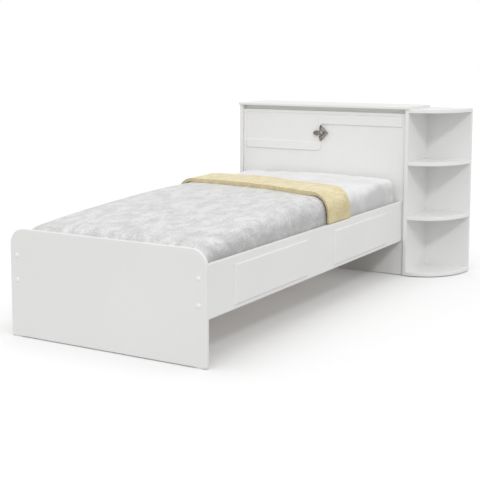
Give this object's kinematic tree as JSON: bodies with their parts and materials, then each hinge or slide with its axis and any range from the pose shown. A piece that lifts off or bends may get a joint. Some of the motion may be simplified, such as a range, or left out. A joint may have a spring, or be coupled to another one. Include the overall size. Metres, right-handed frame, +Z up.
{
  "type": "bookcase headboard bed",
  "caption": "Single bed with a lidded chest headboard, a tower of quarter-oval corner shelves, rails with raised plates and a made-up mattress",
  "frame": {"origin": "centre of the bounding box's underside, on the floor", "axes": "+X to the right seen from the foot end, towards the corner shelves; +Y from the footboard to the headboard; +Z up"},
  "size_m": [1.248, 2.222, 0.884],
  "materials": {
    "white_lacquered_board": "satin white lacquer on fibreboard",
    "pine": "planed, unfinished",
    "beech": "plain",
    "zinc_plated_steel": "bright zinc",
    "nickel_plated_steel": "satin nickel",
    "antique_silver": "antique silver on a zinc casting",
    "cap_plastic": "moulded, white",
    "glide_plastic": "moulded, pale",
    "sheet_cotton": "fitted cotton sheet",
    "blanket_plush": "short plush pile",
    "cuff_plush": "long plush pile"
  },
  "bodies": {
    "bed": {"back_rail": "white_lacquered_board", "barrel_nuts": "zinc_plated_steel", "blanket": "blanket_plush", "blanket_cuff": "cuff_plush", "bolt_caps": "cap_plastic", "centre_beam": "pine", "centre_legs": "pine", "chest_back": "white_lacquered_board", "chest_floor": "white_lacquered_board", "connector_bolts": "zinc_plated_steel", "corner_back": "white_lacquered_board", "corner_shelf_1": "white_lacquered_board", "corner_shelf_2": "white_lacquered_board", "corner_shelf_3": "white_lacquered_board", "corner_shelf_4": "white_lacquered_board", "corner_tenons": "beech", "footboard": "white_lacquered_board", "glides": "glide_plastic", "head_side_left": "white_lacquered_board", "head_side_right": "white_lacquered_board", "headboard_tenons": "beech", "hinge_leaves_back": "nickel_plated_steel", "hinge_pins": "nickel_plated_steel", "hinge_screws_back": "zinc_plated_steel", "ledger_left": "pine", "ledger_right": "pine", "lid_stretcher": "white_lacquered_board", "lower_front_panel": "white_lacquered_board", "mattress": "sheet_cotton", "ornament": "antique_silver", "ornament_screw": "zinc_plated_steel", "plate_left_foot": "white_lacquered_board", "plate_left_head": "white_lacquered_board", "plate_right_foot": "white_lacquered_board", "plate_right_head": "white_lacquered_board", "post_left_foot": "pine", "post_left_head": "pine", "post_right_foot": "pine", "post_right_head": "pine", "rail_left": "white_lacquered_board", "rail_right": "white_lacquered_board", "rail_screws": "zinc_plated_steel", "raised_band": "white_lacquered_board", "slat_01": "pine", "slat_02": "pine", "slat_03": "pine", "slat_04": "pine", "slat_05": "pine", "slat_06": "pine", "slat_07": "pine", "slat_08": "pine", "slat_09": "pine", "slat_10": "pine", "slat_11": "pine", "slat_12": "pine", "upper_front_panel": "white_lacquered_board"},
    "lid": {"lid": "white_lacquered_board", "hinge_leaves_lid": "nickel_plated_steel", "hinge_screws_lid": "zinc_plated_steel"}
  },
  "joints": [
    {"name": "lid", "type": "hinge", "parent": "bed", "child": "lid", "pos_m": [-0.118, 1.1074, 0.872], "axis": [-1, 0, 0], "range_deg": [0, 95]}
  ]
}
